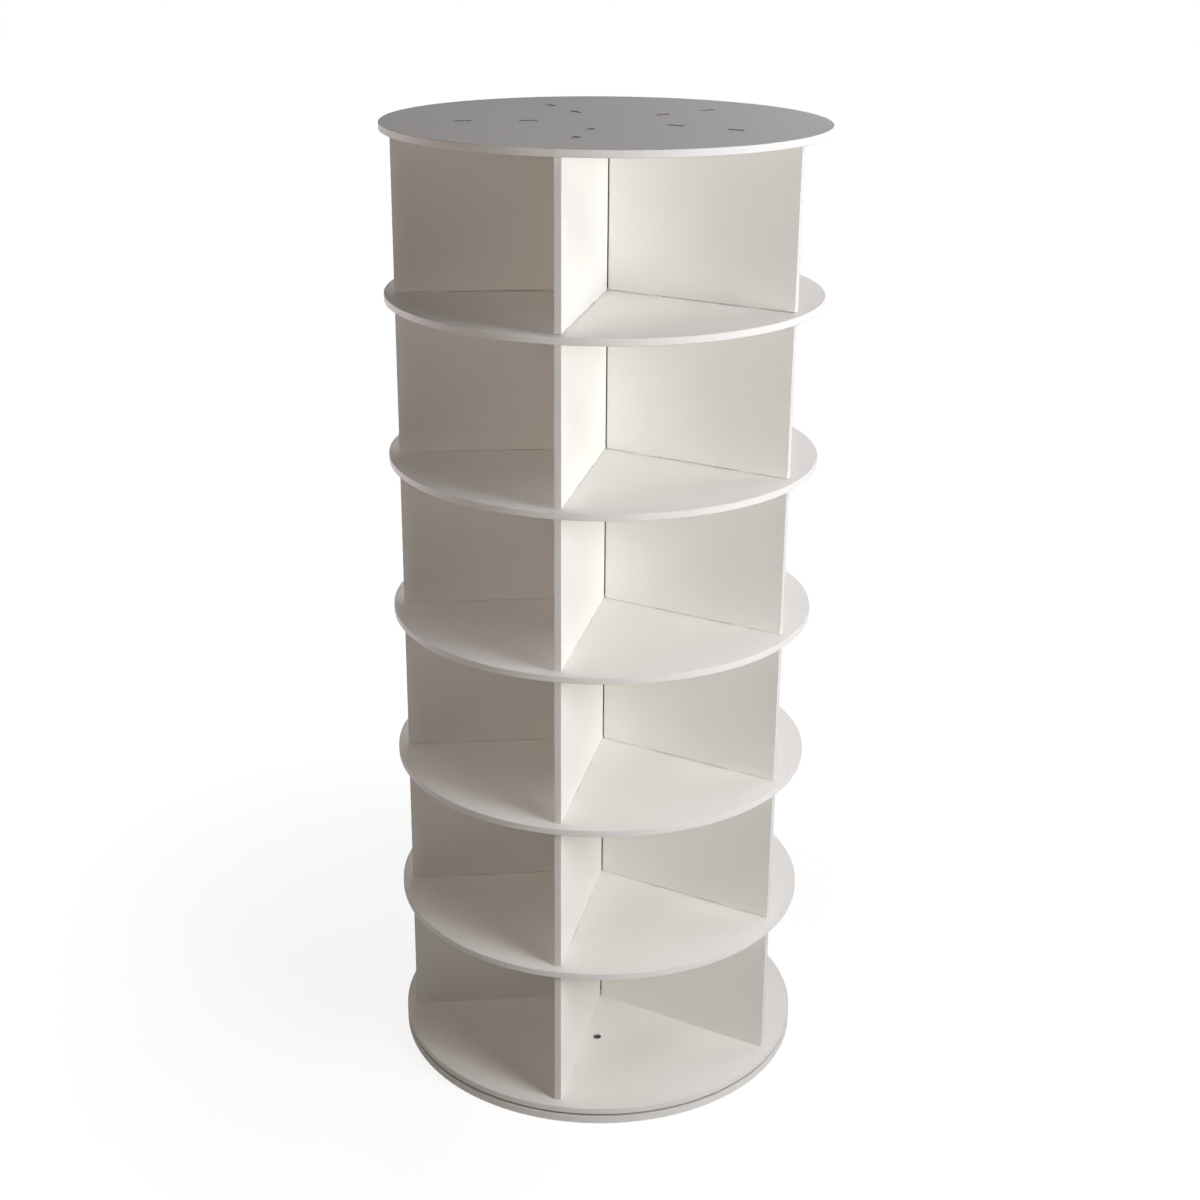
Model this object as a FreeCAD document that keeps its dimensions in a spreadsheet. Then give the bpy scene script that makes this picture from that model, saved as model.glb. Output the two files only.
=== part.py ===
import FreeCAD, Part
import math
import os
import string

import Sketcher

# Rotating shoe tower: round shelves on slotted radial dividers, turning on a ring bearing.
#
# Millimetres. The turning axis is Z and the floor is Z = 0. Every level has the same ring of upright
# dividers, standing like spokes round the axis. Each divider is a board with two tabs along its top
# and two along its foot. The tabs plug into slots in the discs above and below, so the tower stands
# with no posts. The lowest disc is screwed to the inner ring of a ball bearing. The outer ring is
# screwed into a seat in the base board, which stands still on rubber pads.

Vector = FreeCAD.Vector

doc = FreeCAD.newDocument("rotating_shoe_tower")

# ---------------------------------------------------------------------------------------------------
# Driving dimensions
# ---------------------------------------------------------------------------------------------------
SIZES = [
    # discs and dividers
    ("disc_radius", 250),
    ("disc_thickness", 8),
    ("divider_thickness", 8),
    ("divider_height", 178.4),  # between its shoulders
    ("divider_setback", 12),  # from the disc's rim to the divider's outer edge
    ("divider_count", 5),  # on each level
    ("level_count", 6),
    ("core_clearance", 1),  # inner edges stand back this far from where their corners would meet
    ("foot_gap", 0.6),  # a foot tab is this much longer than the disc is thick
    ("edge_rounding", 0.6),
    # tabs and their slots
    ("tab_length", 19),
    ("top_tab_spacing", 72),  # between the middles of a divider's two top tabs
    ("foot_tab_spacing", 130),
    ("top_tab_recess", 1),  # a top tab ends this far below the disc's upper face
    ("slot_side_clearance", 0.2),
    ("slot_end_clearance", 0.4),
    # ring bearing
    ("ball_circle_radius", 111),
    ("ball_radius", 2.5),
    ("ball_count", 36),
    ("race_clearance", 0.1),
    ("ring_height", 8),
    ("ring_offset", 1),  # the inner ring stands this much above the outer ring
    ("ring_spacing", 1.6),  # radial gap between the rings, which the cage runs in
    ("inner_ring_width", 17.6),
    ("outer_ring_width", 13.2),
    ("cage_thickness", 1),
    ("cage_height", 7),
    ("pocket_clearance", 0.2),
    # base board
    ("turn_gap", 3),  # between the base board and the lowest disc
    ("base_floor", 4),  # board left under the bearing seat
    ("seat_clearance", 1),
    ("pad_height", 1.5),
    ("pad_radius", 12),
    ("pad_bevel", 0.5),
    ("pad_count", 6),
    ("pad_setback", 35),  # from the board's rim to the middle of a pad
    # pan-head screws that hold the lowest disc to the inner ring
    ("screw_count", 4),
    ("disc_screw_turn", 11),  # degrees from a divider to the first screw
    ("pan_shank_radius", 2.5),
    ("pan_head_radius", 4.5),
    ("pan_head_height", 2.6),
    ("counterbore_clearance", 0.5),
    ("head_sink", 0.6),  # depth of a pan head below the disc's face
    # countersunk screws that hold the outer ring to the base board
    ("sunk_shank_radius", 2),
    ("sunk_head_radius", 4),
    ("sunk_head_height", 2.2),
    # both kinds of screw
    ("screw_tip_clearance", 1),  # a shank ends this far inside the far face of its ring
    ("shank_clearance", 0.25),  # round a shank where it passes through a board
    ("thread_clearance", 0.1),  # round a shank inside its ring
    ("recess_length", 4.6),  # cross recess in every screw head
    ("recess_width", 1.1),
    ("recess_depth", 1.5),
]

sheet = doc.addObject("Spreadsheet::Sheet", "sizes")
for row, (alias, value) in enumerate(SIZES, start=1):
    sheet.set(f"A{row}", alias)
    sheet.set(f"B{row}", str(value))
    sheet.setAlias(f"B{row}", alias)
doc.recompute()


def number(expression):
    """The value of an expression of the sheet, as a plain number."""
    return float(sheet.evalExpression(expression.replace("sizes.", "")))


# ---------------------------------------------------------------------------------------------------
# Sizes and heights that follow from the driving dimensions, as expressions
# ---------------------------------------------------------------------------------------------------
# Dividers stand between these two radii. At the inner one, neighbours' corners just clear each other.
CORNERS_MEET = "sizes.divider_thickness / 2 / tan(180 deg / sizes.divider_count)"
DIVIDER_INNER = f"({CORNERS_MEET} + sizes.core_clearance)"
DIVIDER_OUTER = "(sizes.disc_radius - sizes.divider_setback)"
DIVIDER_MIDDLE = f"(({DIVIDER_INNER} + {DIVIDER_OUTER}) / 2)"
TOP_TAB_HEIGHT = "(sizes.disc_thickness - sizes.top_tab_recess)"
FOOT_TAB_DEPTH = "(sizes.disc_thickness + sizes.foot_gap)"

# Bearing: the rings overlap in height, and the balls run in the middle of that overlap.
RING_OUTER_BORE = "(sizes.ball_circle_radius + sizes.ring_spacing / 2)"
RING_OUTER_RIM = f"({RING_OUTER_BORE} + sizes.outer_ring_width)"
RING_INNER_RIM = "(sizes.ball_circle_radius - sizes.ring_spacing / 2)"
RING_INNER_BORE = f"({RING_INNER_RIM} - sizes.inner_ring_width)"
RACE_RADIUS = "(sizes.ball_radius + sizes.race_clearance)"
BASE_SCREW_CIRCLE = f"(({RING_OUTER_BORE} + {RING_OUTER_RIM}) / 2)"
DISC_SCREW_CIRCLE = f"(({RING_INNER_BORE} + {RING_INNER_RIM}) / 2)"
DISC_SCREW_TURN = "(sizes.disc_screw_turn * 1 deg)"
SCREW_BITE = "(sizes.ring_height - sizes.screw_tip_clearance)"
UNDER_PAN_HEAD = "(sizes.disc_thickness - sizes.head_sink - sizes.pan_head_height)"  # disc left there
SEAT_DEPTH = "(sizes.ring_height + sizes.ring_offset - sizes.turn_gap)"
BASE_THICKNESS = f"({SEAT_DEPTH} + sizes.base_floor)"

# Heights above the floor.
SEAT_Z = "(sizes.pad_height + sizes.base_floor)"
INNER_RING_Z = f"({SEAT_Z} + sizes.ring_offset)"
BALL_Z = f"({SEAT_Z} + (sizes.ring_height + sizes.ring_offset) / 2)"
BOTTOM_DISC_Z = f"(sizes.pad_height + {BASE_THICKNESS} + sizes.turn_gap)"
LEVEL_PITCH = "(sizes.divider_height + sizes.disc_thickness + sizes.foot_gap)"


def shoulder_z(level):
    """Height of the foot shoulders of a level's dividers. The lowest level stands right on its disc."""
    return f"({BOTTOM_DISC_Z} + sizes.disc_thickness + {level - 1} * {LEVEL_PITCH})"


def disc_above_z(level):
    """Underside of the disc that rests on a level's dividers."""
    return f"({shoulder_z(level)} + sizes.divider_height)"


FRONT = -90  # the first divider of every level points to -Y
FULL_TURN = 360

# ---------------------------------------------------------------------------------------------------
# Modelling helpers
# ---------------------------------------------------------------------------------------------------
subparts = []


def new_body(label, z, turn=FRONT):
    """A sub-part: a body that stands at height z and is turned about Z."""
    body = doc.addObject("PartDesign::Body", label)
    body.Label = label
    body.Placement = FreeCAD.Placement(Vector(0, 0, number(z)), FreeCAD.Rotation(Vector(0, 0, 1), turn))
    body.setExpression("Placement.Base.z", z)
    subparts.append(body)
    return body


def datum(body, role):
    """One of the body's own origin planes or axes."""
    return next(feature for feature in body.Origin.OriginFeatures if feature.Role == role)


def new_sketch(body, name, plane="XY_Plane", lift=None, turn=None):
    """A sketch on one of the body's own planes.

    An expression can lift it off the plane, or turn it about the sketch's own upright direction.
    """
    sketch = body.newObject("Sketcher::SketchObject", name)
    sketch.AttachmentSupport = [(datum(body, plane), "")]
    sketch.MapMode = "FlatFace"
    if lift:
        sketch.setExpression("AttachmentOffset.Base.z", lift)
    if turn:
        upright = Vector(0, 1, 0)
        sketch.AttachmentOffset = FreeCAD.Placement(Vector(), FreeCAD.Rotation(upright, number(turn)))
        sketch.setExpression("AttachmentOffset.Rotation.Angle", turn)
    return sketch


def place_point(sketch, geometry, position, x, y):
    """Dimensions one point of a sketch from its origin, with x and y as expressions."""
    for kind, expression in (("DistanceX", x), ("DistanceY", y)):
        index = sketch.addConstraint(
            Sketcher.Constraint(kind, -1, 1, geometry, position, number(expression))
        )
        sketch.setExpression(f"Constraints[{index}]", expression)


def add_outline(sketch, points):
    """A closed outline of straight edges through points given as pairs of expressions."""
    corners = [Vector(number(x), number(y), 0) for x, y in points]
    first = sketch.GeometryCount
    for corner, next_corner in zip(corners, corners[1:] + corners[:1]):
        sketch.addGeometry(Part.LineSegment(corner, next_corner), False)
    for i, (x, y) in enumerate(points):
        next_edge = first + (i + 1) % len(points)
        sketch.addConstraint(Sketcher.Constraint("Coincident", first + i, 2, next_edge, 1))
        place_point(sketch, first + i, 1, x, y)
    return first + len(points)  # the number of the outline's closing edge, counted from 1


def add_rectangle(sketch, left, right, low, high):
    add_outline(sketch, [(left, low), (right, low), (right, high), (left, high)])


def add_circle(sketch, radius, x="0", y="0"):
    """A circle with its radius and middle given as expressions."""
    middle = Vector(number(x), number(y), 0)
    index = sketch.addGeometry(Part.Circle(middle, Vector(0, 0, 1), number(radius)), False)
    place_point(sketch, index, 3, x, y)
    constraint = sketch.addConstraint(Sketcher.Constraint("Radius", index, number(radius)))
    sketch.setExpression(f"Constraints[{constraint}]", radius)


def add_pad(body, sketch, length, symmetric=False):
    pad = body.newObject("PartDesign::Pad", "Pad")
    pad.Profile = (sketch, [""])
    if symmetric:
        pad.SideType = "Symmetric"
    pad.setExpression("Length", length)
    return pad


def add_pocket(body, sketch, depth=None):
    """Cuts a sketch down into the solid, to a depth or right through it."""
    pocket = body.newObject("PartDesign::Pocket", "Pocket")
    pocket.Profile = (sketch, [""])
    if depth:
        pocket.setExpression("Length", depth)
    else:
        pocket.Type = "ThroughAll"
        pocket.SideType = "Symmetric"
    return pocket


def add_turned(body, kind, sketch, axis):
    """A Revolution or Groove of a sketch, a full turn about an axis."""
    turned = body.newObject(f"PartDesign::{kind}", kind)
    turned.Profile = (sketch, [""])
    turned.ReferenceAxis = axis
    turned.Angle = FULL_TURN
    return turned


def add_polar(body, features, count):
    """Repeats features evenly round the body's Z axis and makes the pattern the body's tip."""
    pattern = body.newObject("PartDesign::PolarPattern", "PolarPattern")
    pattern.Originals = features
    pattern.Axis = (datum(body, "Z_Axis"), [""])
    pattern.Angle = FULL_TURN
    pattern.setExpression("Occurrences", count)
    body.Tip = pattern
    return pattern


def add_turned_on_circle(body, kind, circle, half_profile, turn=None):
    """Turns a half profile about an upright axis that stands on a circle round Z.

    half_profile holds pairs of radius and height, and starts and ends on the upright axis.
    """
    sketch = new_sketch(body, "half_profile", "XZ_Plane", turn=turn)
    edge = add_outline(sketch, [(f"{circle} + {radius}", height) for radius, height in half_profile])
    return add_turned(body, kind, sketch, (sketch, [f"Edge{edge}"]))


def round_edges(body, feature, chosen, radius):
    """Rounds the edges of a feature for which chosen(edge) is true."""
    doc.recompute()
    names = [f"Edge{i}" for i, edge in enumerate(feature.Shape.Edges, start=1) if chosen(edge)]
    fillet = body.newObject("PartDesign::Fillet", "Fillet")
    fillet.Base = (feature, names)
    fillet.setExpression("Radius", radius)
    return fillet


def is_rim(edge):
    """True for a full circle of the discs' radius."""
    curve = edge.Curve
    return isinstance(curve, Part.Circle) and abs(curve.Radius - number("sizes.disc_radius")) < 0.01


def is_upright_end(edge):
    """True for an upright edge at either end of a divider."""
    ends = (number(DIVIDER_INNER), number(DIVIDER_OUTER))
    low, high = edge.Vertexes[0].Point, edge.Vertexes[-1].Point
    upright = abs(low.x - high.x) < 0.01 and abs(low.z - high.z) > number("sizes.divider_height") / 2
    return upright and any(abs(low.x - end) < 0.01 for end in ends)


# ---------------------------------------------------------------------------------------------------
# Dividers: one pattern board, and a clone of it for each place on each level
# ---------------------------------------------------------------------------------------------------
def tab_edges(spacing):
    """Radii of the four ends of a divider's two tabs, from the axis outwards."""
    return [
        f"({DIVIDER_MIDDLE} {side} {spacing} / 2 {end} sizes.tab_length / 2)"
        for side in "-+"
        for end in "-+"
    ]


def make_divider_pattern():
    """An upright board along +X. Z = 0 is at its foot shoulder, and tabs stand out above and below."""
    body = doc.addObject("PartDesign::Body", "divider_pattern")
    sketch = new_sketch(body, "outline", "XZ_Plane")
    foot, top = f"-{FOOT_TAB_DEPTH}", f"(sizes.divider_height + {TOP_TAB_HEIGHT})"
    shoulder = "sizes.divider_height"
    a, b, c, d = tab_edges("sizes.foot_tab_spacing")
    points = [(DIVIDER_INNER, "0")]
    points += [(a, "0"), (a, foot), (b, foot), (b, "0"), (c, "0"), (c, foot), (d, foot), (d, "0")]
    points += [(DIVIDER_OUTER, "0"), (DIVIDER_OUTER, shoulder)]
    a, b, c, d = tab_edges("sizes.top_tab_spacing")
    points += [(d, shoulder), (d, top), (c, top), (c, shoulder)]
    points += [(b, shoulder), (b, top), (a, top), (a, shoulder)]
    points += [(DIVIDER_INNER, shoulder)]
    add_outline(sketch, points)
    board = add_pad(body, sketch, "sizes.divider_thickness", symmetric=True)
    round_edges(body, board, is_upright_end, "sizes.edge_rounding")
    return body


def make_divider(pattern, label, level, turn):
    """A clone of the pattern board, standing on its level and pointing along its own spoke."""
    body = new_body(label, shoulder_z(level), turn)
    clone = doc.addObject("PartDesign::FeatureBase", "Clone")
    clone.BaseFeature = pattern
    body.Group = [clone]
    body.Tip = clone


# ---------------------------------------------------------------------------------------------------
# Discs
# ---------------------------------------------------------------------------------------------------
def make_disc(label, z, tab_spacings):
    """A round board with a slot for each tab that enters it, given the spacing of each pair of tabs."""
    body = new_body(label, z)
    sketch = new_sketch(body, "rim")
    add_circle(sketch, "sizes.disc_radius")
    board = add_pad(body, sketch, "sizes.disc_thickness")
    round_edges(body, board, is_rim, "sizes.edge_rounding")

    slots = new_sketch(body, "slots")
    half_width = "(sizes.divider_thickness / 2 + sizes.slot_side_clearance)"
    for spacing in tab_spacings:
        a, b, c, d = tab_edges(spacing)
        for inner_end, outer_end in ((a, b), (c, d)):
            add_rectangle(
                slots,
                f"{inner_end} - sizes.slot_end_clearance",
                f"{outer_end} + sizes.slot_end_clearance",
                f"-{half_width}",
                half_width,
            )
    add_polar(body, [add_pocket(body, slots)], "sizes.divider_count")
    return body


def drill_bottom_disc(body):
    """Counterbored holes for the screws that hold the lowest disc to the bearing's inner ring."""
    shank_hole = "(sizes.pan_shank_radius + sizes.shank_clearance)"
    head_hole = "(sizes.pan_head_radius + sizes.counterbore_clearance)"
    hole = add_turned_on_circle(
        body,
        "Groove",
        DISC_SCREW_CIRCLE,
        [
            ("0", "0"),
            (shank_hole, "0"),
            (shank_hole, UNDER_PAN_HEAD),
            (head_hole, UNDER_PAN_HEAD),
            (head_hole, "sizes.disc_thickness"),
            ("0", "sizes.disc_thickness"),
        ],
        DISC_SCREW_TURN,
    )
    add_polar(body, [hole], "sizes.screw_count")


# ---------------------------------------------------------------------------------------------------
# Base board and its pads
# ---------------------------------------------------------------------------------------------------
def make_base_board():
    """The board that stands still, with a ring-shaped seat cut into its top for the bearing."""
    body = new_body("base_board", "sizes.pad_height")
    sketch = new_sketch(body, "rim")
    add_circle(sketch, "sizes.disc_radius")
    board = add_pad(body, sketch, BASE_THICKNESS)
    round_edges(body, board, is_rim, "sizes.edge_rounding")

    seat = new_sketch(body, "bearing_seat", lift=BASE_THICKNESS)
    add_circle(seat, f"({RING_OUTER_RIM} + sizes.seat_clearance)")
    add_circle(seat, f"({RING_INNER_BORE} - sizes.seat_clearance)")
    add_pocket(body, seat, SEAT_DEPTH)

    shank_hole = "(sizes.sunk_shank_radius + sizes.shank_clearance)"
    hole = add_turned_on_circle(
        body,
        "Groove",
        BASE_SCREW_CIRCLE,
        [
            ("0", "0"),
            ("(sizes.sunk_head_radius + sizes.shank_clearance)", "0"),
            (shank_hole, "sizes.sunk_head_height"),
            (shank_hole, "sizes.base_floor"),
            ("0", "sizes.base_floor"),
        ],
    )
    add_polar(body, [hole], "sizes.screw_count")


def make_foot_pads():
    """Rubber pads stuck under the base board, with a small bevel round the edge that meets the floor."""
    body = new_body("foot_pads", "0")
    pad = add_turned_on_circle(
        body,
        "Revolution",
        "(sizes.disc_radius - sizes.pad_setback)",
        [
            ("0", "0"),
            ("(sizes.pad_radius - sizes.pad_bevel)", "0"),
            ("sizes.pad_radius", "sizes.pad_bevel"),
            ("sizes.pad_radius", "sizes.pad_height"),
            ("0", "sizes.pad_height"),
        ],
    )
    add_polar(body, [pad], "sizes.pad_count")


# ---------------------------------------------------------------------------------------------------
# Ring bearing
# ---------------------------------------------------------------------------------------------------
def make_bearing_ring(label, z, bore, rim, screw_circle, screw_radius, screw_turn=None):
    """An aluminium ring with a ball race round the side that faces its partner."""
    body = new_body(label, z)
    section = new_sketch(body, "section", "XZ_Plane")
    add_rectangle(section, bore, rim, "0", "sizes.ring_height")
    z_axis = (datum(body, "Z_Axis"), [""])
    add_turned(body, "Revolution", section, z_axis)
    race = new_sketch(body, "race", "XZ_Plane")
    add_circle(race, RACE_RADIUS, "sizes.ball_circle_radius", f"{BALL_Z} - {z}")
    add_turned(body, "Groove", race, z_axis)
    hole_radius = f"({screw_radius} + sizes.thread_clearance)"
    hole = add_turned_on_circle(
        body,
        "Groove",
        screw_circle,
        [("0", "0"), (hole_radius, "0"), (hole_radius, "sizes.ring_height"), ("0", "sizes.ring_height")],
        screw_turn,
    )
    add_polar(body, [hole], "sizes.screw_count")


def make_bearing_balls():
    """Steel balls, evenly spaced on their circle."""
    body = new_body("bearing_balls", BALL_Z)
    sketch = new_sketch(body, "half_disc", "XZ_Plane")
    middle = Vector(number("sizes.ball_circle_radius"), 0, 0)
    radius = number("sizes.ball_radius")
    quarter = math.pi / 2
    circle = Part.Circle(middle, Vector(0, 0, 1), radius)
    sketch.addGeometry(Part.ArcOfCircle(circle, -quarter, quarter), False)
    up, down = Vector(middle.x, radius, 0), Vector(middle.x, -radius, 0)
    sketch.addGeometry(Part.LineSegment(up, down), False)
    sketch.addConstraint(Sketcher.Constraint("Coincident", 0, 2, 1, 1))
    sketch.addConstraint(Sketcher.Constraint("Coincident", 1, 2, 0, 1))
    sketch.addConstraint(Sketcher.Constraint("PointOnObject", 0, 3, 1))
    sketch.addConstraint(Sketcher.Constraint("Vertical", 1))
    place_point(sketch, 0, 3, "sizes.ball_circle_radius", "0")
    index = sketch.addConstraint(Sketcher.Constraint("Radius", 0, radius))
    sketch.setExpression(f"Constraints[{index}]", "sizes.ball_radius")
    ball = add_turned(body, "Revolution", sketch, (sketch, ["Edge2"]))
    add_polar(body, [ball], "sizes.ball_count")


def make_bearing_cage():
    """A thin nylon band between the rings, with a round pocket for each ball."""
    body = new_body("bearing_cage", f"({BALL_Z} - sizes.cage_height / 2)")
    sketch = new_sketch(body, "band")
    add_circle(sketch, "(sizes.ball_circle_radius + sizes.cage_thickness / 2)")
    add_circle(sketch, "(sizes.ball_circle_radius - sizes.cage_thickness / 2)")
    add_pad(body, sketch, "sizes.cage_height")
    outside = "(sizes.ball_circle_radius + sizes.cage_thickness)"
    window = new_sketch(body, "ball_pocket", "YZ_Plane", lift=outside)
    add_circle(window, "(sizes.ball_radius + sizes.pocket_clearance)", "0", "sizes.cage_height / 2")
    add_polar(body, [add_pocket(body, window, "2 * sizes.cage_thickness")], "sizes.ball_count")


# ---------------------------------------------------------------------------------------------------
# Screws
# ---------------------------------------------------------------------------------------------------
def add_cross_recess(body, circle, top):
    """Cuts the recess for a cross-point driver. top is the height of its upper end in the body."""
    sketch = new_sketch(body, "cross_recess", lift=top)
    arm, half = "sizes.recess_length / 2", "sizes.recess_width / 2"
    quarter = [(arm, half), (half, half), (half, arm)]
    corners = []
    for _ in range(4):
        corners += quarter
        quarter = [(f"-({y})", x) for x, y in quarter]
    add_outline(sketch, [(f"{circle} + {x}", y) for x, y in corners])
    return add_pocket(body, sketch, "sizes.recess_depth")


def make_screws(label, z, turn, circle, half_profile, recess_top):
    """A ring of screws, each turned from a half profile, with a cross recess in its head."""
    body = new_body(label, z, turn)
    screw = add_turned_on_circle(body, "Revolution", circle, half_profile)
    recess = add_cross_recess(body, circle, recess_top)
    add_polar(body, [screw, recess], "sizes.screw_count")


def make_disc_screws():
    """Pan heads that sit in the lowest disc's counterbores. Z = 0 is under the head."""
    shank_end = f"-({UNDER_PAN_HEAD} + {SCREW_BITE})"
    make_screws(
        "disc_screws",
        f"({BOTTOM_DISC_Z} + {UNDER_PAN_HEAD})",
        FRONT + number(DISC_SCREW_TURN),
        DISC_SCREW_CIRCLE,
        [
            ("0", shank_end),
            ("sizes.pan_shank_radius", shank_end),
            ("sizes.pan_shank_radius", "0"),
            ("sizes.pan_head_radius", "0"),
            ("sizes.pan_head_radius", "sizes.pan_head_height / 2"),
            ("sizes.pan_head_radius * 3 / 4", "sizes.pan_head_height"),
            ("0", "sizes.pan_head_height"),
        ],
        "sizes.pan_head_height",
    )


def make_base_screws():
    """Countersunk heads flush with the underside of the base board. Z = 0 is the flat of the head."""
    shank_end = f"(sizes.base_floor + {SCREW_BITE})"
    make_screws(
        "base_screws",
        "sizes.pad_height",
        FRONT,
        BASE_SCREW_CIRCLE,
        [
            ("0", "0"),
            ("sizes.sunk_head_radius", "0"),
            ("sizes.sunk_shank_radius", "sizes.sunk_head_height"),
            ("sizes.sunk_shank_radius", shank_end),
            ("0", shank_end),
        ],
        "sizes.recess_depth",
    )


# ---------------------------------------------------------------------------------------------------
# Assembly, from the floor up
# ---------------------------------------------------------------------------------------------------
make_foot_pads()
make_base_board()
make_base_screws()
make_bearing_ring(
    "bearing_outer_ring",
    SEAT_Z,
    RING_OUTER_BORE,
    RING_OUTER_RIM,
    BASE_SCREW_CIRCLE,
    "sizes.sunk_shank_radius",
)
make_bearing_cage()
make_bearing_balls()
make_bearing_ring(
    "bearing_inner_ring",
    INNER_RING_Z,
    RING_INNER_BORE,
    RING_INNER_RIM,
    DISC_SCREW_CIRCLE,
    "sizes.pan_shank_radius",
    DISC_SCREW_TURN,
)

TOP_TABS, FOOT_TABS = "sizes.top_tab_spacing", "sizes.foot_tab_spacing"
bottom_disc = make_disc("bottom_disc", BOTTOM_DISC_Z, [FOOT_TABS])
drill_bottom_disc(bottom_disc)
make_disc_screws()

divider_pattern = make_divider_pattern()
level_count = round(number("sizes.level_count"))
divider_count = round(number("sizes.divider_count"))
for level in range(1, level_count + 1):
    for place in range(divider_count):
        label = f"divider_level{level}_{string.ascii_lowercase[place]}"
        make_divider(divider_pattern, label, level, FRONT + place * FULL_TURN / divider_count)
    if level < level_count:
        make_disc(f"shelf_disc_{level}", disc_above_z(level), [TOP_TABS, FOOT_TABS])
    else:
        make_disc("top_disc", disc_above_z(level), [TOP_TABS])

doc.recompute()

# ---------------------------------------------------------------------------------------------------
# Check every object, then write one STEP file for each sub-part
# ---------------------------------------------------------------------------------------------------
for item in doc.Objects:
    if "Invalid" in item.State or "Error" in item.State:
        raise RuntimeError(f"{item.Name} ({item.Label}) failed: {item.State}")
for body in subparts:
    if body.Shape.isNull() or not body.Shape.isValid() or not body.Shape.Solids:
        raise RuntimeError(f"{body.Label} has no valid solid")

os.makedirs("parts", exist_ok=True)
for body in subparts:
    body.Shape.exportStep(os.path.join("parts", f"{body.Label}.step"))
print(f"{len(subparts)} sub-parts written")
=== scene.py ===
import math

import bpy
import numpy as np
from mathutils import Matrix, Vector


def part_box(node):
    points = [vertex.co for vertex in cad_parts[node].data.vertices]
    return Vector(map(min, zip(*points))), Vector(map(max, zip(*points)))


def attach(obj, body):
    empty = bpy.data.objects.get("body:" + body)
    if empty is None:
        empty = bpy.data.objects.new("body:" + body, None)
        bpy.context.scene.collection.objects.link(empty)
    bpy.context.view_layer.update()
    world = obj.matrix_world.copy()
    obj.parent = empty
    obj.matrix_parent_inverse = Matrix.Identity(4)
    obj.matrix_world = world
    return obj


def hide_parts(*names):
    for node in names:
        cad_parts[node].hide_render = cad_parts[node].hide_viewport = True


# A rotating shoe tower: six levels of white boards, plugged together and turning on a ring bearing.
# Metres. The turning axis is Z and the floor is Z = 0. The sections follow the tower as it is put
# together, from the pads that it stands on to the top disc, and the room comes last.

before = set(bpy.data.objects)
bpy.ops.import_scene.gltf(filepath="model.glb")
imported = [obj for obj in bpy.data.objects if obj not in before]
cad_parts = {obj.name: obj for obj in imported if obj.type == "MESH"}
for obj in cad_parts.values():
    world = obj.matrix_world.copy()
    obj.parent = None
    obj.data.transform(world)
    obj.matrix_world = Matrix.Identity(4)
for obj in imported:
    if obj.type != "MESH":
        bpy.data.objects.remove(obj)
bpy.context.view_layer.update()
mm = 0.001


# ---------------------------------------------------------------------------------------------------
# Foot pads
# ---------------------------------------------------------------------------------------------------
# Six black rubber pads stuck under the base board, one every 60 degrees. They are moulded, with a
# rounded lower edge and a shallow dish underneath, so each stands on its outer ring.


class Wire:
    """One output in a material. + - * and / with a number or another wire add the Math node for it."""

    def __init__(self, socket):
        self.socket = socket

    def node(self, kind, settings, inputs, output=0):
        """Adds a node: first its settings, then the values or wires of its inputs. Gives back one of
        its outputs."""
        tree = self.socket.id_data
        made = tree.nodes.new("ShaderNode" + kind)
        for name, value in settings.items():
            setattr(made, name, value)
        for name, value in inputs.items():
            if isinstance(value, Wire):
                tree.links.new(value.socket, made.inputs[name])
            else:
                made.inputs[name].default_value = value
        return Wire(made.outputs[output])

    def maths(self, operation, *values):
        """A Math node on these numbers and wires."""
        return self.node("Math", {"operation": operation}, dict(enumerate(values)))

    def __add__(self, other):
        return self.maths("ADD", self, other)

    def __sub__(self, other):
        return self.maths("SUBTRACT", self, other)

    def __rsub__(self, other):
        return self.maths("SUBTRACT", other, self)

    def __mul__(self, other):
        return self.maths("MULTIPLY", self, other)

    def __truediv__(self, other):
        return self.maths("DIVIDE", self, other)

    __radd__ = __add__
    __rmul__ = __mul__

    def between(self, low, high):
        """0 below low, 1 above high, and a smooth step from one to the other."""
        return self.node("MapRange", {"interpolation_type": "SMOOTHSTEP"},
                         {"Value": self, "From Min": low, "From Max": high})

    def noise(self, size, detail=2.0, roughness=0.5):
        """Soft random values round 0.5 over a point in space, in lumps about this size in metres."""
        return self.node("TexNoise", {}, {"Vector": self, "Scale": 1 / size, "Detail": detail,
                                          "Roughness": roughness})

    def lines(self, pitch):
        """Soft random values round 0.5 along one number in metres, a new one at each pitch."""
        return self.node("TexNoise", {"noise_dimensions": "1D"},
                         {"W": self / pitch, "Scale": 1.0, "Detail": 1.0})

    def mix(self, colour_a, colour_b):
        """Colour a where this wire is 0, colour b where it is 1. In a Mix node that is set to colours,
        6 and 7 are the inputs for them and 2 is the output."""
        return self.node("Mix", {"data_type": "RGBA"}, {0: self, 6: colour_a, 7: colour_b}, output=2)

    def radius(self):
        """A point's distance from the turning axis."""
        flat = self.node("VectorMath", {"operation": "MULTIPLY"}, {0: self, 1: (1, 1, 0)})
        return flat.node("VectorMath", {"operation": "LENGTH"}, {0: flat}, output="Value")

    def part(self, axis):
        """One of a point's coordinates: 0, 1 or 2 for X, Y or Z."""
        return self.node("SeparateXYZ", {}, {0: self}, output=axis)


def new_material(name, **constants):
    """A new material with one Principled shader, whose sockets take these constants. Gives back the
    material and its point in space."""
    material = bpy.data.materials.new(name)
    material.use_nodes = True
    shader = material.node_tree.nodes["Principled BSDF"]
    for socket, value in constants.items():
        shader.inputs[socket.replace("_", " ")].default_value = value
    coordinates = material.node_tree.nodes.new("ShaderNodeTexCoord")
    return material, Wire(coordinates.outputs["Object"])


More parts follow.
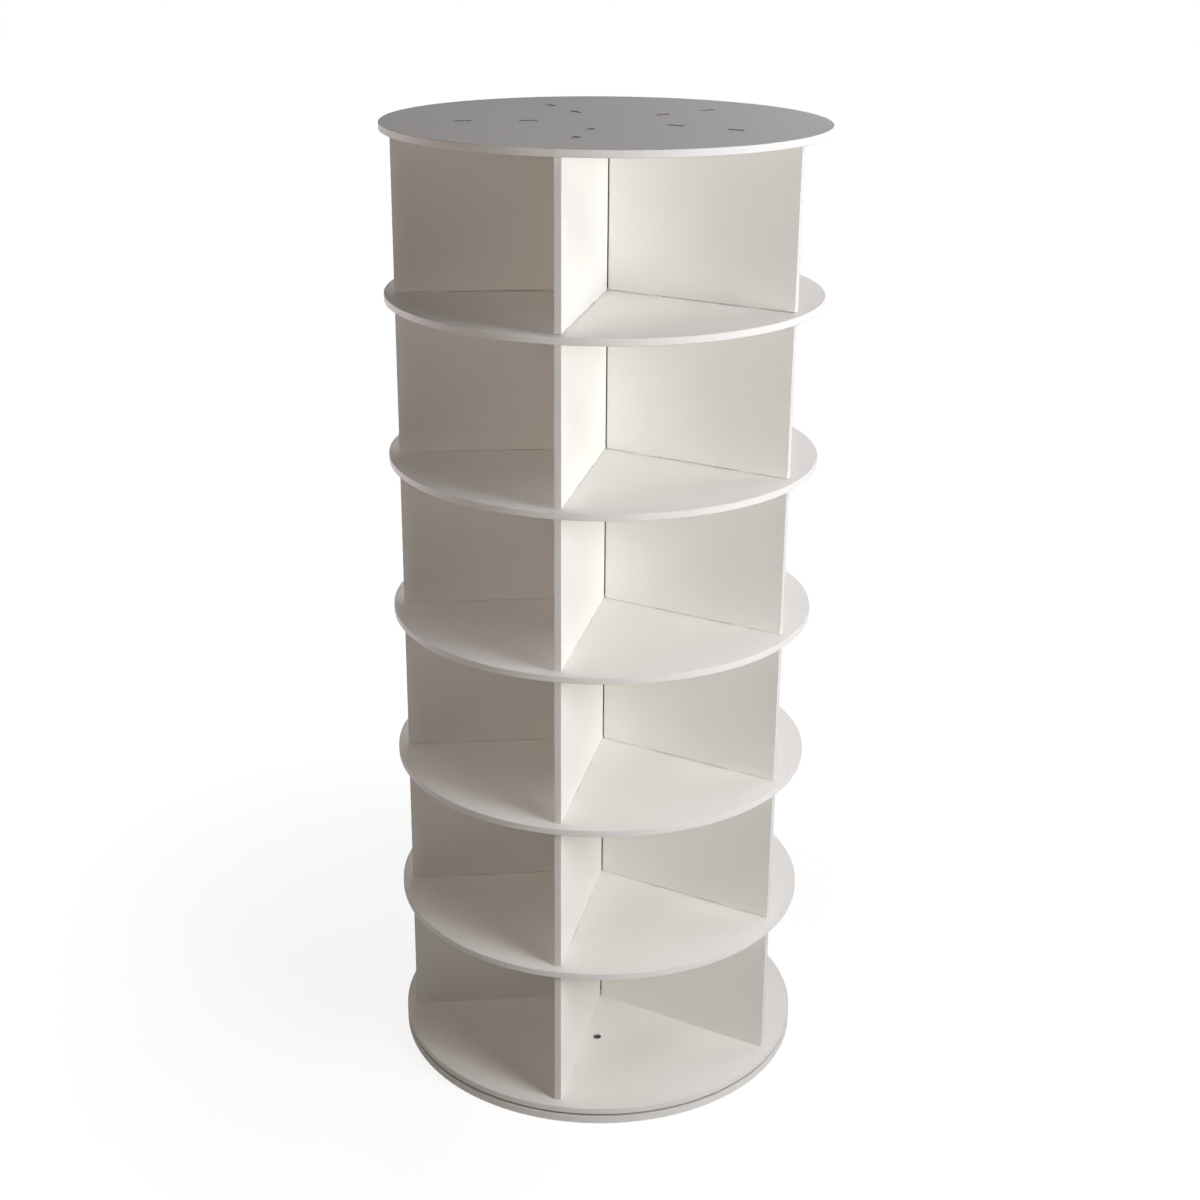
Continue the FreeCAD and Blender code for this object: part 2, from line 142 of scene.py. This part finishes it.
def join_up(material, **wires):
    """Joins wires to the shader's sockets. bump is a height in metres, and goes in by a Bump node."""
    shader = material.node_tree.nodes["Principled BSDF"]
    if "bump" in wires:
        height = wires.pop("bump")
        wires["Normal"] = height.node("Bump", {}, {"Strength": 1.0, "Distance": 1.0, "Height": height})
    for socket, wire in wires.items():
        material.node_tree.links.new(wire.socket, shader.inputs[socket.replace("_", " ")])


def put(name, data):
    """A new object of the scene that holds this mesh, lamp or camera."""
    made = bpy.data.objects.new(name, data)
    bpy.context.collection.objects.link(made)
    return made


def closed_skins(name, grids, material, body, node):
    """One piece of closed skins. Each grid holds rings of points, from a lower pole to an upper one,
    and the rings run anticlockwise seen from above. The first and last ring are one point each.
    Four-sided faces join every ring to the next, and triangles close the poles."""
    points, faces, first = [], [], 0
    for grid in grids:
        rings, turns = grid.shape[0] - 2, grid.shape[1]
        last = first + rings * turns + 1
        points += [grid[0, :1], grid[1:-1].reshape(-1, 3), grid[-1, :1]]
        here = np.arange(first + 1, last).reshape(rings, turns)
        after = np.roll(here, -1, axis=1)
        low, high = np.full(turns, first), np.full(turns, last)
        faces += np.stack([here[:-1], after[:-1], after[1:], here[1:]], axis=2).reshape(-1, 4).tolist()
        faces += np.stack([low, after[0], here[0]], axis=1).tolist()
        faces += np.stack([high, here[-1], after[-1]], axis=1).tolist()
        first = last + 1
    mesh = bpy.data.meshes.new(name)
    mesh.from_pydata(np.concatenate(points).tolist(), [], faces)
    mesh.shade_smooth()
    mesh.set_sharp_from_angle(angle=math.radians(40))
    mesh.materials.append(material)
    piece = put(name, mesh)
    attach(piece, body)
    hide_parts(node)


def turned(radii, heights, turns):
    """Rings of a turned shape: ring k lies at heights[k] and radii[k] from its axis, and point i of it
    at angle 2 pi i / turns. Where radii holds a row for each ring, every point has its own radius."""
    angle = np.arange(turns) * 2 * np.pi / turns
    r = np.reshape(radii, (len(heights), -1))
    z = np.reshape(heights, (-1, 1))
    return np.stack(np.broadcast_arrays(r * np.cos(angle), r * np.sin(angle), z), axis=2)


rubber, place = new_material("black_rubber", Specular_IOR_Level=0.35)
grain = place.noise(0.5 * mm)
dust = place.noise(9 * mm, detail=4.0)
join_up(
    rubber,
    Base_Color=(dust * 0.5).mix((0.030, 0.030, 0.032, 1), (0.075, 0.072, 0.068, 1)),
    Roughness=0.72 + grain * 0.2,
    bump=grain * (0.03 * mm),
)

# Millimetres. The outline of half a pad runs from the middle of the dish, over the ring that the pad
# stands on and round its lower edge, to the middle of the upper face.
pad_circle, pad_radius, pad_height = 215, 12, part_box("foot_pads")[1][2] / mm
dish_radius, dish_depth, slope_end, ring_start = 8.6, 0.35, (9.3, 0.1), (9.8, 0)
rounding, upper_bevel = 0.6, 0.15
angle = np.radians(np.linspace(0, 90, 7))
lower_edge = zip(pad_radius - rounding + rounding * np.sin(angle), rounding - rounding * np.cos(angle))
outline = np.array(
    [(0, dish_depth), (dish_radius, dish_depth), slope_end, ring_start, *lower_edge]
    + [(pad_radius, pad_height - upper_bevel), (pad_radius - upper_bevel, pad_height), (0, pad_height)]
)
pad = turned(outline[:, 0], outline[:, 1], turns=72)
pads = [
    (pad + (pad_circle * math.cos(a), pad_circle * math.sin(a), 0)) * mm
    for a in np.radians(np.arange(-90, 270, 60))
]
closed_skins("rubber_foot_pads", pads, rubber, "base", "foot_pads")


# ---------------------------------------------------------------------------------------------------
# Base board
# ---------------------------------------------------------------------------------------------------
# A round board that stands still, with a ring-shaped seat for the bearing milled in its upper face.
# All the boards are the same: fibre board with a white satin facing, and a duller white band glued
# round each outer edge. What is cut through the face, such as a slot, shows the grey-brown core, whose
# dark tone also stands in as painted shade in the slits and counterbores.


def tone(colour, factor):
    """A colour made lighter or darker by a factor, with the fourth value that a socket asks for."""
    return (*(factor * c for c in colour), 1)


def board_paint(name, edge_start, along, core, band_painted_shade=1.0, core_shade=1.0):
    """Satin white board. The edge band begins at edge_start from the axis, and its ripple runs along the
    length that along works out from a point in space. core works out where the grey-brown core colour
    goes, 1 there and 0 on the facing: the bare core, which on slot walls also serves as painted shade,
    and on the base's upper face painted shade alone. band_painted_shade darkens the band as painted
    shade, and core_shade makes the core colour lighter or darker."""
    band_white, ripple_contrast = (0.78, 0.772, 0.758), 1.077
    core_grey, fibre_contrast = (0.22, 0.197, 0.174), 1.73
    material, place = new_material(name, Specular_IOR_Level=0.15)
    band = place.radius().between(edge_start - 0.5 * mm, edge_start)
    corner = band * (1 - band) * 4  # 1 where the band meets the face
    bare_core_and_shade = core(place) * (1 - band)
    cloud = place.noise(140 * mm, detail=3.0)
    peel = place.noise(1.6 * mm, detail=1.0)
    ripple = along(place).lines(1.4 * mm)
    fibre = place.noise(0.35 * mm, detail=3.0, roughness=0.7)
    face = cloud.mix((0.920, 0.909, 0.876, 1), (0.935, 0.924, 0.892, 1))
    edge = ripple.mix(tone(band_white, band_painted_shade), tone(band_white, band_painted_shade * ripple_contrast))
    inside = fibre.mix(tone(core_grey, core_shade), tone(core_grey, core_shade * fibre_contrast))
    join_up(
        material,
        Base_Color=bare_core_and_shade.mix(band.mix(face, edge), inside),
        Roughness=0.50 + cloud * 0.06 + band * 0.10 - corner * 0.05 + bare_core_and_shade * 0.35,
        bump=peel * (0.010 * mm) + band * ripple * (0.035 * mm) + bare_core_and_shade * fibre * (0.06 * mm),
    )
    return material


def round_the_rim(place):
    """Length round the disc: radius times angle."""
    turn = place.part(0).maths("ARCTAN2", place.part(1), place.part(0))
    return turn * place.radius()


def past_the_facing(depth):
    """0 at a board's face and 1 deeper than its facing."""
    return depth.between(0.02 * mm, 0.10 * mm)


def paint(node, material):
    """Gives a carried-over solid its finish."""
    for material_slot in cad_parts[node].material_slots:
        material_slot.material = material


board_radius, band_thickness = 250 * mm, 0.4 * mm
rim_start = board_radius - band_thickness
base_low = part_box("base_board")[0][2]


def painted_shade_top(place):
    """All but the underside; the upper face, seen only in the gap under the lowest disc, is painted shade."""
    return past_the_facing(place.part(2) - base_low)


# Painted shade in the gap under the lowest disc: the base's upper face takes the core colour, made paler than
# in the slots but darker than the facing.
base_paint = board_paint("white_base_board", rim_start, round_the_rim, painted_shade_top, core_shade=2.1)
paint("base_board", base_paint)


# ---------------------------------------------------------------------------------------------------
# Outer ring of the bearing, and the screws that hold it
# ---------------------------------------------------------------------------------------------------
# A turned aluminium ring with half of the ball race in its bore. It lies in the base board's seat,
# held from below by four zinc-plated countersunk screws.

aluminium, place = new_material("turned_aluminium", Metallic=1.0)
lathe_rings = (place.radius() + place.part(2) * 0.7).lines(0.12 * mm)
stain = place.noise(14 * mm, detail=4.0)
join_up(
    aluminium,
    Base_Color=stain.mix((0.720, 0.729, 0.738, 1), (0.80, 0.81, 0.82, 1)),
    Roughness=0.22 + lathe_rings * 0.12 + stain * 0.08,
    bump=lathe_rings * (0.004 * mm),
)
paint("bearing_outer_ring", aluminium)


def screw(shank_radius, pitch, tip, neck, head_radius, head_side, top, crown):
    """Rings of a cross-point screw on its own axis. Its tip, its neck, the foot of the head's side and
    its top are heights.

    Shank: radius = shank - depth x |2 f - 1|, where f is the fraction of height / pitch - angle / 2 pi,
    so the thread climbs as it turns. At both ends it fades to half that depth.
    Head: a cone or a flat out from the neck, a straight side, then a crown that falls by the square of
    the radius, by crown in all, and near the rim by a quarter round as well.
    Recess: two crossed slots, each as deep as the lesser of side_slope x the distance from its sides
    and end_slope x the distance from its ends, down to recess_depth."""
    turns, rings_per_pitch, head_rings = 96, 8, 56
    thread_depth = 0.28 * pitch
    angle = np.arange(turns) * 2 * np.pi / turns
    z = np.arange(tip, neck, pitch / rings_per_pitch)
    f = (z[:, None] / pitch - angle / (2 * np.pi)) % 1
    fade = np.clip(np.minimum(z - tip, neck - z) / pitch, 0, 1)[:, None]
    thread = shank_radius - thread_depth / 2 * (1 + (np.abs(2 * f - 1) * 2 - 1) * fade)
    shank = turned(thread, z, turns)

    rim_width, rim_fall = 0.35 * mm, 0.25 * mm
    r = np.linspace(head_radius, 0, head_rings)
    rounding = np.clip((r - head_radius) / rim_width + 1, 0, 1)
    dome = top - crown * (r / head_radius) ** 2 - rim_fall * (1 - np.sqrt(1 - rounding**2))
    head = turned([shank_radius, head_radius, *r], [neck, head_side, *dome], turns)

    half_width, half_length, recess_depth = 0.62 * mm, 2.45 * mm, 1.5 * mm
    side_slope, end_slope = 6, 1
    face = head[2:]
    x, y = np.abs(face[..., 0]), np.abs(face[..., 1])

    def slot(along, across):
        return np.minimum((half_width - across) * side_slope, (half_length - along) * end_slope)

    face[..., 2] -= np.clip(np.maximum(slot(x, y), slot(y, x)), 0, recess_depth)
    point = np.broadcast_to((0, 0, tip), (1, turns, 3))
    return np.concatenate([point, shank, head])


def four_round(grid, circle, first_angle):
    """Four copies of a screw on a circle round the turning axis, each turned to face it."""
    for a in np.radians(first_angle + np.arange(4) * 90):
        c, s = math.cos(a), math.sin(a)
        turn = np.array([(c, s, 0), (-s, c, 0), (0, 0, 1)])
        yield (grid + (circle, 0, 0)) @ turn


zinc, place = new_material("zinc_plate", Metallic=1.0)
frost = place.noise(1.2 * mm, detail=3.0)
join_up(
    zinc,
    Base_Color=frost.mix((0.62, 0.63, 0.66, 1), (0.80, 0.80, 0.79, 1)),
    Roughness=0.26 + frost * 0.18,
    bump=frost * (0.01 * mm),
)

(_, _, sunk_low), (_, _, sunk_high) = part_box("base_screws")
sunk = screw(
    shank_radius=2 * mm, pitch=0.9 * mm, tip=sunk_low - sunk_high, neck=-2.2 * mm,
    head_radius=4 * mm, head_side=-0.26 * mm, top=0, crown=0,
)
sunk[..., 1:] *= -1  # turned over: it points up, and its head is flush with the board's underside
sunk += (0, 0, sunk_low)
sunk_screws = four_round(sunk, circle=118.4 * mm, first_angle=-90)
closed_skins("countersunk_screws", sunk_screws, zinc, "base", "base_screws")


# ---------------------------------------------------------------------------------------------------
# Balls and cage
# ---------------------------------------------------------------------------------------------------
# Thirty-six ground steel balls run between the rings. A moulded nylon band spaces them, with a round
# pocket for each.

ball_steel, place = new_material("ground_steel", Metallic=1.0)
smear = place.noise(2.5 * mm, detail=5.0, roughness=0.6)
join_up(
    ball_steel,
    Base_Color=smear.mix((0.55, 0.55, 0.56, 1), (0.72, 0.72, 0.73, 1)),
    Roughness=0.06 + smear * 0.14,
    bump=smear * (0.002 * mm),
)
paint("bearing_balls", ball_steel)

nylon, place = new_material("natural_nylon", Subsurface_Weight=0.15, Subsurface_Radius=(0.002, 0.002, 0.001))
flow = place.noise(6 * mm, detail=3.0)
join_up(
    nylon,
    Base_Color=flow.mix((0.74, 0.70, 0.60, 1), (0.82, 0.79, 0.71, 1)),
    Roughness=0.42 + flow * 0.12,
    bump=place.noise(0.8 * mm) * (0.01 * mm),
)
paint("bearing_cage", nylon)


# ---------------------------------------------------------------------------------------------------
# Inner ring of the bearing
# ---------------------------------------------------------------------------------------------------
# The outer ring's partner, a little higher, with the race in its rim. The lowest disc lies on it and
# is screwed down to it.

paint("bearing_inner_ring", aluminium)


# ---------------------------------------------------------------------------------------------------
# Lowest disc and its screws
# ---------------------------------------------------------------------------------------------------
# The first turning board, with slots for the lowest dividers and four counterbores. A black pan-head
# screw sinks in each and holds the disc to the bearing's inner ring.

(_, _, disc_low), (_, _, disc_high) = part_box("bottom_disc")
disc_thickness = disc_high - disc_low


# The grey-brown on these walls is the bare core and also painted shade, darkening the slits and counterbores.
def cut_walls(height):
    """1 on the walls of what is cut through a disc and 0 on its two faces, by the height over the
    lower one."""
    return past_the_facing(height) * past_the_facing(disc_thickness - height)


def lowest_disc_cuts(place):
    """The walls of the slots, counterbores and screw holes."""
    return cut_walls(place.part(2) - disc_low)


paint("bottom_disc", board_paint("white_lowest_disc", rim_start, round_the_rim, lowest_disc_cuts))

black_oxide, place = new_material("black_oxide", Metallic=1.0)
bloom = place.noise(0.9 * mm, detail=4.0)
join_up(
    black_oxide,
    Base_Color=bloom.mix((0.11, 0.11, 0.11, 1), (0.21, 0.205, 0.20, 1)),
    Roughness=0.30 + bloom * 0.16,
    bump=bloom * (0.01 * mm),
)

(_, _, pan_tip), (_, _, pan_top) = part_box("disc_screws")
under_head = pan_top - 2.6 * mm
pan = screw(
    shank_radius=2.5 * mm, pitch=1.1 * mm, tip=pan_tip, neck=under_head,
    head_radius=4.5 * mm, head_side=under_head, top=pan_top, crown=0.5 * mm,
)
pan_screws = four_round(pan, circle=101.4 * mm, first_angle=-90 + 11)  # 11 degrees past a divider
closed_skins("pan_head_screws", pan_screws, black_oxide, "tower", "disc_screws")


# ---------------------------------------------------------------------------------------------------
# Dividers
# ---------------------------------------------------------------------------------------------------
# Five upright boards stand on every level like spokes, with two tabs down and two up. The outer edges
# are banded, with a ripple that lies across them. The inner edges, which nearly meet at the turning
# axis, are left as they were sawn.

levels = 6
divider_reach, inner_corner = 238 * mm, 7.64 * mm


def up_the_edge(place):
    """Height, for an edge that the router ran along from end to end."""
    return place.part(2)


def inner_edge(place):
    """The sawn edge next to the turning axis, whose corners lie inner_corner from it."""
    return 1 - place.radius().between(inner_corner - 0.02 * mm, inner_corner + 0.06 * mm)


# Painted shade: the dividers' band is the discs' band made 7 per cent darker, to darken their upright outer
# edges.
divider_start = divider_reach - band_thickness
divider_paint = board_paint("white_divider", divider_start, up_the_edge, inner_edge, band_painted_shade=0.93)
for level in range(1, levels + 1):
    for spoke in "abcde":
        paint(f"divider_level{level}_{spoke}", divider_paint)


# ---------------------------------------------------------------------------------------------------
# Shelf discs and top disc
# ---------------------------------------------------------------------------------------------------
# Each shelf disc drops onto the tabs of the dividers below and takes the tabs of those above. The top
# disc has slots for the last level's tabs only, which show in it as ten short slits.

shelf_low, next_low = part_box("shelf_disc_1")[0][2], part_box("shelf_disc_2")[0][2]
top_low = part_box("top_disc")[0][2]


def shelf_slots(place):
    """The walls of the slots in all the shelf discs, which are evenly spaced."""
    up = place.part(2) - shelf_low
    return cut_walls(up.maths("FLOORED_MODULO", up, next_low - shelf_low))


def top_slots(place):
    """The walls of the top disc's slots."""
    return cut_walls(place.part(2) - top_low)


shelf_paint = board_paint("white_shelf_disc", rim_start, round_the_rim, shelf_slots)
for level in range(1, levels):
    paint(f"shelf_disc_{level}", shelf_paint)
paint("top_disc", board_paint("white_top_disc", rim_start, round_the_rim, top_slots))


# ---------------------------------------------------------------------------------------------------
# Room: floor, backdrop, lamps and camera
# ---------------------------------------------------------------------------------------------------
# A wide white floor that keeps the tower's soft shadow, three soft lamps to the right of the camera,
# a weak warm one to the left, one behind on the right, and two weak ones behind the tower.

scene = bpy.context.scene


def emptied(owner):
    """The nodes of a material or of the world, cleared of those it starts with."""
    owner.use_nodes = True
    owner.node_tree.nodes.clear()
    return owner.node_tree


def seen_by(tree, *rays):
    """1 to these kinds of ray and 0 to the others."""
    path = tree.nodes.new("ShaderNodeLightPath")
    seen, *others = [Wire(path.outputs[f"Is {ray} Ray"]) for ray in rays]
    for other in others:
        seen = seen.maths("MAXIMUM", seen, other)
    return seen


# To the eye and in a reflection the floor glows white, a little less near the tower, and it adds the
# lamps' light on a dark grey, where the shadow shows. To all other light it is a plain pale floor.
floor_white = bpy.data.materials.new("floor_white")
tree = emptied(floor_white)
seen = seen_by(tree, "Camera", "Glossy")
place = seen.node("TexCoord", {}, {}, output="Object")
near = seen.node("Emission", {}, {"Color": (1, 1, 1, 1), "Strength": 0.86})
far = seen.node("Emission", {}, {"Color": (1, 1, 1, 1), "Strength": 1.0})
away = place.radius().between(0.3, 1.2)  # 0 round the tower's foot, 1 from 1.2 m on
glow = seen.node("MixShader", {}, {0: away, 1: near, 2: far})
shadow = seen.node("BsdfDiffuse", {}, {"Color": (0.25, 0.25, 0.25, 1)})
shown = seen.node("AddShader", {}, {0: glow, 1: shadow})
bounce = seen.node("BsdfDiffuse", {}, {"Color": (0.78, 0.78, 0.78, 1)})
surface = seen.node("MixShader", {}, {0: seen, 1: bounce, 2: shown})
tree.links.new(surface.socket, tree.nodes.new("ShaderNodeOutputMaterial").inputs["Surface"])

floor_reach = 30.0
corners = [(x * floor_reach, y * floor_reach, 0) for x, y in ((-1, -1), (1, -1), (1, 1), (-1, 1))]
floor_mesh = bpy.data.meshes.new("floor")
floor_mesh.from_pydata(corners, [], [(0, 1, 2, 3)])
floor_mesh.materials.append(floor_white)
floor = put("floor", floor_mesh)

# The backdrop is white to the eye and gives no light.
world = bpy.data.worlds.new("backdrop")
scene.world = world
tree = emptied(world)
seen = seen_by(tree, "Camera", "Glossy", "Transmission")
dark = seen.node("Background", {}, {"Color": (1, 1, 1, 1), "Strength": 0.0})
white = seen.node("Background", {}, {"Color": (1, 1, 1, 1), "Strength": 1.0})
surface = seen.node("MixShader", {}, {0: seen, 1: dark, 2: white})
tree.links.new(surface.socket, tree.nodes.new("ShaderNodeOutputWorld").inputs["Surface"])

front = 281.5  # degrees from X to the side that the camera stands on


def lamp(name, turn, distance, height, aim_height, width, tall, power, colour, spread=180):
    """A soft box: a rectangle that stands turn degrees to the right of the front, at a distance and
    height, and faces the axis at aim_height. A grid on it narrows its beam to spread degrees."""
    light = bpy.data.lights.new(name, "AREA")
    light.shape = "RECTANGLE"
    light.size, light.size_y, light.spread = width, tall, math.radians(spread)
    light.energy, light.color = power, colour
    azimuth = math.radians((front + turn) % 360)
    fall = math.atan2(height - aim_height, distance)
    box = put(name, light)
    box.matrix_world = (
        Matrix.Translation((distance * math.cos(azimuth), distance * math.sin(azimuth), height))
        @ Matrix.Rotation(azimuth + math.pi / 2, 4, "Z")
        @ Matrix.Rotation(math.pi / 2 - fall, 4, "X")
    )


# turn, distance, height, aim height, width, tall, watts and colour
lamp("main_lamp", 42, 1.6, 0.9, 0.7, 0.5, 0.4, 10.6, (1.0, 0.96, 0.885))
lamp("upper_lamp", 50, 1.5, 1.2, 0.7, 0.5, 0.4, 7.9, (0.855, 0.90, 1.0))
lamp("high_lamp", 60, 1.3, 2.0, 1.0, 0.5, 0.4, 4.7, (1.0, 0.955, 0.96))
lamp("left_lamp", -60, 1.7, 1.2, 0.8, 0.9, 0.6, 6.0, (1.0, 0.845, 0.73))
lamp("far_right_lamp", 120, 1.2, 1.4, 1.1, 0.8, 0.5, 6.2, (0.98, 0.92, 1.0))
lamp("rear_lamp", 180, 2.0, 0.6, 0.6, 0.8, 0.6, 1.4, (1.0, 0.98, 0.95), spread=50)
lamp("rear_left_lamp", -120, 2.0, 0.8, 0.8, 0.8, 0.5, 1.3, (0.94, 0.89, 1.0), spread=40)

# The camera stands 2.08 m from the axis and 1.38 m up, a little right of the front divider.
camera_data = bpy.data.cameras.new("camera")
camera_data.sensor_width, camera_data.lens = 36.0, 55.26
camera_distance, camera_height = 2.083, 1.3814
swing, aside, tilt, roll = (math.radians(a) for a in (11.515, 0.061, 21.109, 0.502))
camera = put("camera", camera_data)
camera.matrix_world = (
    Matrix.Translation((camera_distance * math.sin(swing), -camera_distance * math.cos(swing), camera_height))
    @ Matrix.Rotation(swing + aside, 4, "Z")
    @ Matrix.Rotation(math.pi / 2 - tilt, 4, "X")
    @ Matrix.Rotation(roll, 4, "Z")
)
scene.camera = camera
scene.view_settings.view_transform = "Standard"
